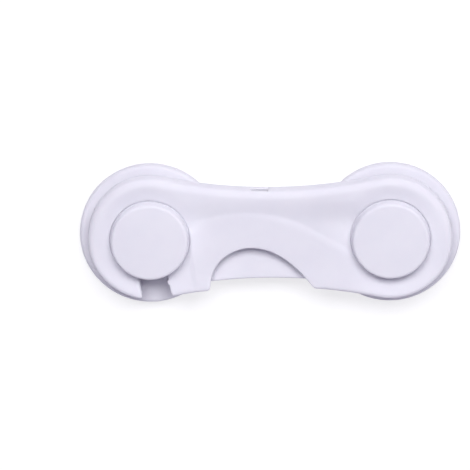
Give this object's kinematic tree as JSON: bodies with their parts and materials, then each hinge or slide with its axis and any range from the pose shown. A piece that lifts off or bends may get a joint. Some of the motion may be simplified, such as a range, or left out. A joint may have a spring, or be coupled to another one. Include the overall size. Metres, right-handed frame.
{
  "type": "cabinet safety lock",
  "caption": "Stick-on cabinet safety lock with a bone-shaped arm that swings on a round base, hooks over a capped post and is freed by a finger trigger.",
  "frame": {"origin": "midway between the two posts, on the furniture's face that the foam pads stick to", "axes": "+X from the latch post to the pivot post, +Y towards the arm's closed upper edge, the way the arm swings off the latch post, +Z out from the furniture"},
  "size_m": [0.1, 0.037, 0.0143],
  "materials": {
    "white_plastic": "satin",
    "natural_acetal": "satin",
    "foam_tape": "matte",
    "zinc_screw": "satin",
    "spring_wire": "polished"
  },
  "bodies": {
    "bases": {"latch_pad": "foam_tape", "pivot_pad": "foam_tape", "latch_base": "white_plastic", "pivot_base": "white_plastic", "latch_cap": "white_plastic", "pivot_cap": "white_plastic", "latch_cap_screw": "zinc_screw", "pivot_cap_screw": "zinc_screw"},
    "arm": {"rear_cover": "white_plastic", "front_cover": "white_plastic", "cover_screws": "zinc_screw", "trigger_springs": "spring_wire", "latch_leaf": "natural_acetal"},
    "trigger": {"trigger": "white_plastic"}
  },
  "joints": [
    {"name": "arm_swing", "type": "hinge", "parent": "bases", "child": "arm", "pos_m": [0.0315, 0, 0], "axis": [0, 0, -1], "range_deg": [0, 340], "deforming": ["latch_leaf"]},
    {"name": "trigger_press", "type": "slide", "parent": "arm", "child": "trigger", "axis": [0, 1, 0], "range_m": [0, 0.0024], "stiffness_N_per_m": 400, "springref_m": -0.003, "deforming": ["trigger_springs", "latch_leaf"]}
  ]
}
